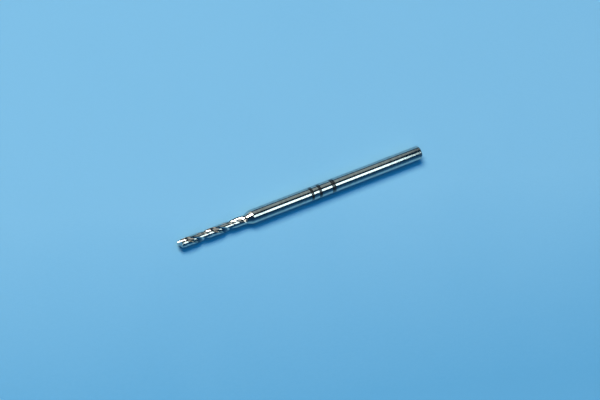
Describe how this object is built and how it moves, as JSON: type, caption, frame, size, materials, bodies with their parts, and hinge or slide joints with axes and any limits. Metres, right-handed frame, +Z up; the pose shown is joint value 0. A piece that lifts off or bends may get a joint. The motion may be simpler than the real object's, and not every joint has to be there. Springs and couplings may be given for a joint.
{
  "type": "dental twist drill",
  "caption": "Slim right-hand twist drill with a fluted head, a short cone and a plain straight shank with dark marking rings, lying on its side.",
  "frame": {"origin": "middle of the tool's length, on the surface that the shank lies on, straight below the tool's axis", "axes": "+X runs along the tool's axis from the point to the tail; +Z is up, away from the surface; +Y completes the right-handed frame"},
  "size_m": [0.021, 0.001, 0.0011],
  "materials": {
    "cutter_steel": "ground and bright, with fine grinding lines along the flutes",
    "shank_steel": "centreless ground and polished, with fine lines round the shank",
    "braze": "thin line of silver filler, satin",
    "mark_black": "dark baked marking ink, slightly glossy, worn in specks"
  },
  "bodies": {
    "root": {"fluted_head": "cutter_steel", "shank": "shank_steel", "braze_joint": "braze", "mark_ring_front": "mark_black", "mark_ring_middle": "mark_black", "mark_ring_rear": "mark_black"}
  },
  "joints": []
}
